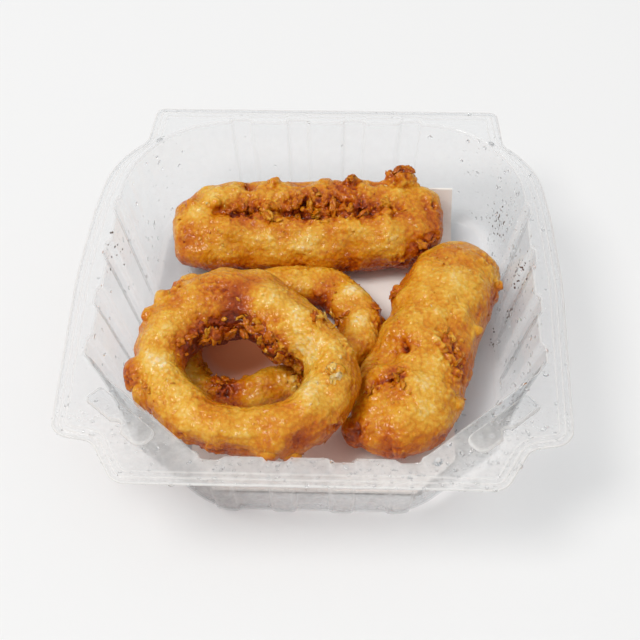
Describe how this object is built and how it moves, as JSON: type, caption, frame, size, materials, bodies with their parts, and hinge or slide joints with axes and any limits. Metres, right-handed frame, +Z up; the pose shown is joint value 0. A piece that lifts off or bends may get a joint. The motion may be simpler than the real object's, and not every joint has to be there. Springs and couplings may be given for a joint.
{
  "type": "fried calamari in a clear takeaway box base",
  "caption": "Battered, deep-fried squid rings and closed-up rings lying on an absorbent pad in a clear thermoformed box base.",
  "frame": {"origin": "on the table, under the middle of the box base", "axes": "+Z up, +Y towards the hinge tab at the back, +X to the right of someone who looks from the front corners' catches"},
  "size_m": [0.15, 0.153, 0.0392],
  "materials": {
    "clear_sheet": "clear thermoformed sheet, glossy",
    "pad_paper": "white absorbent paper pad, matte",
    "fried_batter": "golden fried batter with a thin shine of oil"
  },
  "bodies": {
    "root": {"tray": "clear_sheet", "pad": "pad_paper", "ring_front": "fried_batter", "ring_behind": "fried_batter", "ring_back": "fried_batter", "stick_right": "fried_batter"}
  },
  "joints": []
}
